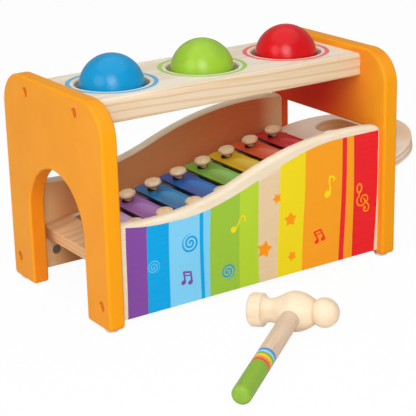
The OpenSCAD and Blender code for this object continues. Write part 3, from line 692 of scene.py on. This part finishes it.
def plyBoard(start):
    work = plyWork
    keyShade, low, slot, handle = (work[part] for part in ("keyShade", "low", "slot", "handle"))
    point = slopePoint(start)
    u, v, w = point.axes()
    colour, fibre = woodColour(point, "ply")
    layer = (w * (pi * work["layers"] / work["thick"]) + fibre * work["layerWarp"]).wave()
    inside, top = w.within(work["skin"] - work["thick"], -work["skin"]), w > work["top"]
    colour = (inside * layer.rise(*work["glueRise"]).line(*work["glueShare"])).mix(colour, work["glue"])
    # painted shade on the board's top under the keys
    leaning = u - ((v - keyShade["leanFrom"]) | 0.0) * keyShade["lean"]
    keyShaded = top * (u > keyShade["from"]) * (leaning < keyShade["to"]) * (v.size() < keyShade["side"])
    colour = (keyShaded * fibre.line(*keyShade["share"])).mix(colour, keyShade["tone"])
    growth = growthLines(point, v * work["acrossCount"], work)
    # painted warm reflected light at the board's low end
    foot = 1.0 - u.rise(*low["along"])
    colour = (foot * low["share"]).mix(colour, low["tone"])
    colour = (foot * growth * top * low["lineShare"]).mix(colour, low["line"])
    # painted shade on the finger slot's wall
    reach = u - slot["at"]
    wall = inside * (reach.size() < slot["half"]) * (v.size() < slot["side"])
    colour = (wall * slot["share"]).mix(colour, slot["tone"])
    colour = (reach.rise(*handle["along"]) * handle["share"]).mix(colour, handle["tone"])
    return {"Base Color": colour, "Roughness": fibre.line(*work["rough"]),
            "Normal": (fibre + layer * inside * work["layerRelief"]).bump(*work["relief"])}


# Keys: flecked enamel; a painted highlight makes the pressed dish p^2 + q^2 < 1 lighter, and painted shade
# makes the back and the sides below the top darker
keyWork = {
    "tones": ((208, 162, 216), (172, 108, 194), (30, 138, 206), (14, 112, 212),
              (142, 214, 88), (255, 220, 50), (255, 112, 70), (228, 52, 62)),
    "edge": 0.45 * mm, "dishHalf": 7.0, "dishShort": 8.0, "dishRim": (0.88, 1.0), "dishFrom": 0.7,
    # painted highlight: a lighter tone in the dish, brightest on its side up the slope
    "dishHighlight": (0.72, 71), "light": (-0.6, 0.8), "lightShare": (0.5, 0.12),
    # painted shade: darker towards the back end of each key
    "darker": 0.9, "back": (0.5, 1.3), "backShare": 0.8, "fleckShare": 0.2,
    # painted shade: a dark brown on each key's sides below the top
    "flankTo": 1.55, "flankRim": 1.05, "flankShade": (38, 24, 18), "flankShare": 0.8,
    "fleck": (3.2, 2.0, 0.5), "rough": (0.1, 0.2), "metal": 0.08, "relief": (0.00003, 0.4),
}


def enamel(k, tone):
    work, felt = keyWork, rowWork["felt"]
    darker = tuple(int(c * work["darker"]) for c in tone)
    dishHighlight = tuple(int(c * work["dishHighlight"][0] + work["dishHighlight"][1]) for c in tone)

    def make(start):
        point = slopePoint(start)
        u, v, w = point.axes()
        fleck = point.noise(*work["fleck"])
        p, q = (u - keyPlace(k)) / work["dishHalf"], v / (keySpan(k) / 2 - work["dishShort"])
        reach = p * p + q * q
        dish = (w > felt + work["dishFrom"]) * (1.0 - reach.rise(*work["dishRim"]))
        # painted shade on the key's sides below the top, outside the dish
        flankShade = (w < felt + work["flankTo"]) * (reach > work["flankRim"])
        # painted shade towards the back end, mixed with random flecks
        shade = (q.rise(*work["back"]) * work["backShare"] + fleck * work["fleckShare"]).mix(tone, darker)
        shade = (flankShade * work["flankShare"]).mix(shade, work["flankShade"])
        # the dish gets the painted highlight
        return {"Base Color": (dish * p.rise(*work["light"]).line(*work["lightShare"])).mix(shade, dishHighlight),
                "Roughness": fleck.line(*work["rough"]), "Metallic": fleck * work["metal"],
                "Normal": fleck.bump(*work["relief"])}
    return finish("keyEnamel", make, Specular_IOR_Level=0.4, Coat_Weight=0.25, Coat_Roughness=0.1)


# Pins: a stem, a hollow fillet and a flattened ball, turned; pale heads, and stems browned by painted shade
# under them
pinWork = {"deep": 6.5, "stem": 3.1, "head": 6.2, "middle": 12.0, "half": 2.6, "fillet": 0.7,
           "headPower": 0.8, "halfPower": 0.9, "filletSteps": 9, "headSteps": 28, "spokes": 40,
           # painted shade: a brown on the stem below the head
           "under": (8.8, 10.4), "stemShadeTone": (158, 108, 70), "stemShadeShare": 0.8,
           "rough": (0.2, 0.4), "relief": (0.00006, 0.5)}


def pinWood(start):
    point = slopePoint(start)
    colour, fibre = woodColour(point, "pins")
    # painted shade on the stem under the head
    under = 1.0 - point.axes()[2].rise(*pinWork["under"])
    return {"Base Color": (under * pinWork["stemShadeShare"]).mix(colour, pinWork["stemShadeTone"]),
            "Roughness": fibre.line(*pinWork["rough"]), "Normal": fibre.bump(*pinWork["relief"])}


def pinProfile():
    # the head is r = head cos^0.8, height = middle + half sin^0.9, and the fillet is a quarter of a circle
    w = pinWork
    q = np.linspace(0, pi / 2, w["filletSteps"])
    lowest = np.arccos(((w["stem"] + w["fillet"]) / w["head"]) ** (1 / w["headPower"]))
    a = np.linspace(-lowest, pi / 2, w["headSteps"])
    head = np.stack([w["head"] * squarish(np.cos(a), w["headPower"]),
                     w["middle"] + w["half"] * squarish(np.sin(a), w["halfPower"])], -1)
    head[-1, 0] = 0
    curve, under = w["fillet"], head[0, 1]
    fillet = np.stack([w["stem"] + curve * (1 - np.cos(q)), under - curve * (1 - np.sin(q))], -1)
    return np.concatenate([[[0, -w["deep"]], [w["stem"], -w["deep"]]], fillet, head[1:]]) * mm


def turnedPins(k, material):
    points, faces = lathe(pinProfile(), pinWork["spokes"])
    points = points.reshape(-1, 3)
    pair = [points + np.array([keyPlace(k), side * keySpan(k) / 2, 0]) * mm for side in (-1, 1)]
    put(f"pins_{k + 1}", f"turnedPins_{k + 1}", carried(np.concatenate(pair), slopeMatrix()),
        np.concatenate([faces, faces + len(points)]), material)


plyFinish = finish("plyBoard", plyBoard, Specular_IOR_Level=0.2)
pinFinish = finish("pinWood", pinWood, Specular_IOR_Level=0.4)
softCopy("xylophone_board", "xylophoneBoard", plyFinish, plyWork["edge"])
for k, tone in enumerate(keyWork["tones"]):
    softCopy(f"key_{k + 1}", f"enamelKey_{k + 1}", enamel(k, tone), keyWork["edge"])
    turnedPins(k, pinFinish)

# Felt strips: matted fibres in two darks, with a soft nap
feltWork = {"over": 13.0, "width": 12.0, "sideGap": 0.1, "topGap": 0.05, "power": 0.4, "endRows": 60,
            "nap": 0.072, "waves": ((61, 5), (143, -3), (211, 9)), "rows": 241, "columns": 48, "fill": 0.95,
            "tones": ((26, 20, 20), (58, 46, 44)), "mat": (1500.0, 4.0, 0.7), "matRise": (0.3, 0.75),
            "matShare": 0.6, "patch": (160.0, 3.0, 0.6), "patchRise": (0.35, 0.7), "patchShare": 0.4,
            "rough": (0.1, 0.88), "relief": (0.0005, 0.8)}


def feltCloth(start):
    work = feltWork
    point = objectPoint(start)
    mat, patch = point.noise(*work["mat"]), point.noise(*work["patch"])
    share = mat.rise(*work["matRise"]) * work["matShare"]
    share = share + patch.rise(*work["patchRise"]) * work["patchShare"]
    return {"Base Color": share.mix(*work["tones"]), "Roughness": mat.line(*work["rough"]),
            "Normal": mat.bump(*work["relief"])}


def feltStrip(side, material):
    # a squarish oval section, (cos^0.4, sin^0.4) with their signs kept, carried along a row of pins
    w, row = feltWork, rowWork
    run = (row["count"] - 1) * row["pitch"]
    lean = atan2((row["spanLast"] - row["spanFirst"]) / 2, run)
    half, height = run / cos(lean) / 2 + w["over"], row["felt"] / 2
    s = np.linspace(-1, 1, w["rows"])[:, None]
    t = roundAngles(w["columns"])[None, :]
    close = np.clip((1 - np.abs(s)) * w["endRows"], 0, 1) ** w["power"]
    first, second, third = (np.sin(along * s + around * t) for along, around in w["waves"])
    nap = w["nap"] * (first * second + 0.5 * third)
    across = (w["width"] / 2 - w["sideGap"] + nap) * squarish(np.cos(t), w["power"]) * close
    above = height + (height - w["topGap"]) * squarish(np.sin(t), w["power"]) * close
    flat = np.stack([half * s + 0 * t, across, above], -1) * mm
    middle = Vector((row["first"] + run / 2, side * (row["spanFirst"] + row["spanLast"]) / 4, 0)) * mm
    place = slopeMatrix() @ Matrix.Translation(middle) @ Matrix.Rotation(side * lean, 4, "Z")
    which, faces = "front" if side < 0 else "back", gridFaces(w["rows"], w["columns"])
    return put(which + "_felt", "feltStrip_" + which, carried(flat, place), faces, material)


feltFinish = finish("blackFelt", feltCloth, Sheen_Weight=0.3, Sheen_Roughness=0.6)
for side in (-1, 1):
    feltStrip(side, feltFinish)

# Grommets: a rubber tube round each stem, squeezed thin but on the low side, whose dark bulge stands in for
# the shade beside the stem
grommetWork = {"stem": 3.12, "thin": 0.12, "thick": 0.8, "power": 5, "base": 6.62, "around": 48, "tube": 14}


def squeezedRings():  # the tube's radius is thin + thick (0.5 - 0.5 cos t)^5 at the angle t round the stem
    w = grommetWork
    t, a = roundAngles(w["around"])[:, None], roundAngles(w["tube"])[None, :]
    tube = w["thin"] + w["thick"] * (0.5 - 0.5 * np.cos(t)) ** w["power"]
    out = w["stem"] + tube * (1 + np.cos(a))
    high = w["base"] + tube * (1 + np.sin(a))
    ring = np.stack([out * np.cos(t), out * np.sin(t), high], -1).reshape(-1, 3)
    k = np.arange(rowWork["count"])
    half = keySpan(k) / 2
    feet = np.stack([np.tile(keyPlace(k), 2), np.concatenate([-half, half]), np.zeros(2 * len(k))], -1)
    points = (ring[None] + feet[:, None]).reshape(-1, 3) * mm
    shift = np.arange(len(feet))[:, None, None] * len(ring)
    faces = (gridFaces(w["around"], w["tube"], ring=True)[None] + shift).reshape(-1, 4)
    put("pin_grommets", "pinGrommets", carried(points, slopeMatrix()), faces, rubberFinish)


squeezedRings()
print("xylophone dressed")

# Mallet: where it lies, in millimetres and degrees
malletWork = {"place": (-19.6, -131.6, 11.45), "turn": -54.0, "roll": -4.4904, "dip": 3.7451}


def malletMatrix():
    place = Vector(malletWork["place"]) * mm + Vector(benchFoot)
    turns = Euler([radians(malletWork[k]) for k in ("dip", "roll", "turn")])
    return Matrix.Translation(place) @ turns.to_matrix().to_4x4()


def malletPoint(start):  # millimetres in the mallet's own axes: X along the head, -Y along the handle
    back = malletMatrix().inverted()
    place = tuple(v / mm for v in back.to_translation())
    return objectPoint(start).moved(place=place, turn=tuple(back.to_euler()), scale=(1 / mm,) * 3)


# Mallet head: pale turned wood, redder in the groove beside the ball
headWork = {"disc": 11.2, "face": -30.6, "faceRound": 2.5, "back": -20.8, "backRound": 1.2,
            "neck": 7.9, "collar": 2.0, "coneFrom": -20.7, "coneLength": 3.5, "conePower": 1.6,
            "riseFrom": -16.8, "barrel": 13.4, "fall": 5.7, "fallTo": 14.0,
            "knob": 9.8, "knobAt": 20.0, "knobFrom": -0.64,
            "roundSteps": 9, "steps": 15, "knobSteps": 30, "spokes": 96,
            "groove": (12.2, 14.0), "grooveEnd": (14.2, 15.6), "grooveTone": (228, 176, 120),
            "grooveShare": 0.5, "turning": 2.6, "turningShare": 0.12,
            "rough": (0.15, 0.36), "relief": (0.00006, 0.5)}


def headProfile():
    # disc with rounded rims, cone to the neck, cosine rise to the barrel's middle, round fall and a ball
    w = headWork
    q, t = np.linspace(0, pi / 2, w["roundSteps"]), np.linspace(0, 1, w["steps"])
    rim, lip = w["faceRound"], w["backRound"]
    face = np.stack([w["disc"] - rim * (1 - np.sin(q)), w["face"] + rim * (1 - np.cos(q))], -1)
    back = np.stack([w["disc"] - lip * (1 - np.cos(q)), w["back"] - lip * (1 - np.sin(q))], -1)
    collar = w["collar"] * (1 - t) ** w["conePower"]
    cone = np.stack([w["neck"] + collar, w["coneFrom"] + w["coneLength"] * t], -1)
    swell = (w["barrel"] - w["neck"]) * (0.5 - 0.5 * np.cos(pi * t))
    rise = np.stack([w["neck"] + swell, w["riseFrom"] * (1 - t)], -1)
    barrel = np.stack([w["barrel"] - w["fall"] * t ** 2, w["fallTo"] * t], -1)[1:]
    a = np.linspace(w["knobFrom"], pi / 2, w["knobSteps"])
    knob = np.stack([w["knob"] * np.cos(a), w["knobAt"] + w["knob"] * np.sin(a)], -1)
    return np.concatenate([[[0, w["face"]]], face, back, cone, rise, barrel, knob]) * mm


def malletHeadWood(start):
    work = headWork
    point = malletPoint(start)
    colour, fibre = woodColour(point, "head")
    u = point.axes()[0]
    groove = u.rise(*work["groove"]) * (1.0 - u.rise(*work["grooveEnd"]))
    turned = (u * work["turning"]).wave()
    return {"Base Color": (groove * work["grooveShare"]).mix(colour, work["grooveTone"]),
            "Roughness": fibre.line(*work["rough"]),
            "Normal": (fibre + turned * work["turningShare"]).bump(*work["relief"])}


# Mallet handle: bare wood, six narrow painted bands and a painted grip
handleWork = {"grip": 109.4, "radius": 6.3, "tip": 4.5, "tipPower": 0.75, "deep": 4.0,
              "tubeSteps": 40, "tipSteps": 17, "spokes": 64,
              "paintFrom": 63.0, "band": 2.5, "paintReach": 40.0,
              "paints": ((0, 140, 205), (150, 205, 240), (130, 178, 50), (238, 205, 20), (232, 145, 40),
                         (222, 58, 62), (126, 172, 38)),
              "paintShare": (0.14, 0.86), "paintGloss": 0.16, "paintFill": 0.5,
              "rough": (0.2, 0.46), "relief": (0.00007, 0.5)}


def handleProfile():  # a tube with a blunt end: r = radius cos^0.75, height = grip + tip sin^0.75
    w = handleWork
    a = np.linspace(0, pi / 2, w["tipSteps"])
    along = np.linspace(-w["deep"], w["grip"], w["tubeSteps"])
    tube = np.stack([np.full(len(along), w["radius"]), along], -1)
    out, ahead = np.cos(a) ** w["tipPower"], np.sin(a) ** w["tipPower"]
    end = np.stack([w["radius"] * out, w["grip"] + w["tip"] * ahead], -1)[1:]
    end[-1, 0] = 0
    return np.concatenate([[[0, -w["deep"]]], tube, end]) * mm


def malletHandleWood(start):
    work = handleWork
    point = malletPoint(start)
    colour, fibre = woodColour(point, "handle")
    far = -point.axes()[1]
    paint = ((far - work["paintFrom"]) / work["paintReach"]).bands(
        [(k * work["band"] / work["paintReach"], tone) for k, tone in enumerate(work["paints"])])
    painted = far > work["paintFrom"]
    return {"Base Color": (painted * fibre.line(*work["paintShare"])).mix(colour, paint),
            "Roughness": fibre.line(*work["rough"]) - painted * work["paintGloss"],
            "Normal": (fibre * (1.0 - painted * work["paintFill"])).bump(*work["relief"])}


def turnedMallet():
    headPlace = malletMatrix() @ Matrix.Rotation(pi / 2, 4, "Y")
    points, faces = lathe(headProfile(), headWork["spokes"])
    put("mallet_head", "malletHead", carried(points, headPlace), faces,
        finish("malletHeadWood", malletHeadWood, Specular_IOR_Level=0.2))
    handlePlace = malletMatrix() @ Matrix.Rotation(pi / 2, 4, "X")
    points, faces = lathe(handleProfile(), handleWork["spokes"])
    put("mallet_handle", "malletHandle", carried(points, handlePlace), faces,
        finish("malletHandleWood", malletHandleWood, Specular_IOR_Level=0.15))


turnedMallet()
print("mallet turned")

# Stage: a pale floor that stays white to the camera and keeps a soft shadow, under an even sky
stageWork = {"half": 6.0, "below": 0.0002, "floor": (236, 236, 236), "floorWhite": 0.96,
             "sky": 0.34, "skyWhite": 1.0}
plainWhite = (1, 1, 1, 1)


def whiteToCamera(tree, plain, white, output, share):
    # the plain shader for the light, and by a share the white one for the camera
    tree.nodes.clear()
    start = Val(tree)
    seen = start.node("ShaderNodeLightPath", out="Is Camera Ray")
    under, over = (start.node(kind, ins=ins) for kind, ins in (plain, white))
    both = start.node("ShaderNodeMixShader", ins={0: seen * share, 1: under, 2: over})
    tree.links.new(both.sock, tree.nodes.new(output).inputs["Surface"])


def buildStage():
    half, below = stageWork["half"], stageWork["below"]
    mesh = bpy.data.meshes.new("paleFloor")
    corners = np.array([(-1, -1, 0), (1, -1, 0), (1, 1, 0), (-1, 1, 0)]) * half - (0, 0, below)
    mesh.from_pydata(corners, [], [(0, 1, 2, 3)])
    floor = bpy.data.objects.new("paleFloor", mesh)
    scene.collection.objects.link(floor)
    material = bpy.data.materials.new("paleFloor")
    material.use_nodes = True
    matte = ("ShaderNodeBsdfDiffuse", {"Color": tint(stageWork["floor"])})
    white = ("ShaderNodeEmission", {"Color": plainWhite, "Strength": 1.0})
    whiteToCamera(material.node_tree, matte, white, "ShaderNodeOutputMaterial", stageWork["floorWhite"])
    mesh.materials.append(material)
    world = bpy.data.worlds.new("studio")
    scene.world = world
    world.use_nodes = True
    sky = ("ShaderNodeBackground", {"Color": plainWhite, "Strength": stageWork["sky"]})
    white = ("ShaderNodeBackground", {"Color": plainWhite, "Strength": 1.0})
    whiteToCamera(world.node_tree, sky, white, "ShaderNodeOutputWorld", stageWork["skyWhite"])


# Lamps: two on the camera's side, one to the left, one above; metres from their aim, width and watts
lampWork = {"aimHeight": 0.07, "lamps": (("front", (-0.61, -0.906, 0.794), 0.75, 6.7),
                                         ("low", (-0.573, -1.078, 0.445), 0.75, 3.6),
                                         ("left", (-1.15, -0.2, 0.65), 0.8, 3.6),
                                         ("above", (0.0, 0.0, 1.5), 2.4, 9.6))}


def buildLamps():
    aim = Vector((*benchFoot[:2], lampWork["aimHeight"]))
    for name, place, wide, watts in lampWork["lamps"]:
        data = bpy.data.lights.new(name, "AREA")
        data.shape, data.size, data.energy = "DISK", wide, watts
        lamp = bpy.data.objects.new(name, data)
        lamp.location = aim + Vector(place)
        lamp.rotation_euler = (-Vector(place)).to_track_quat("-Z", "Y").to_euler()
        scene.collection.objects.link(lamp)


buildStage()
buildLamps()
print("stage lit")
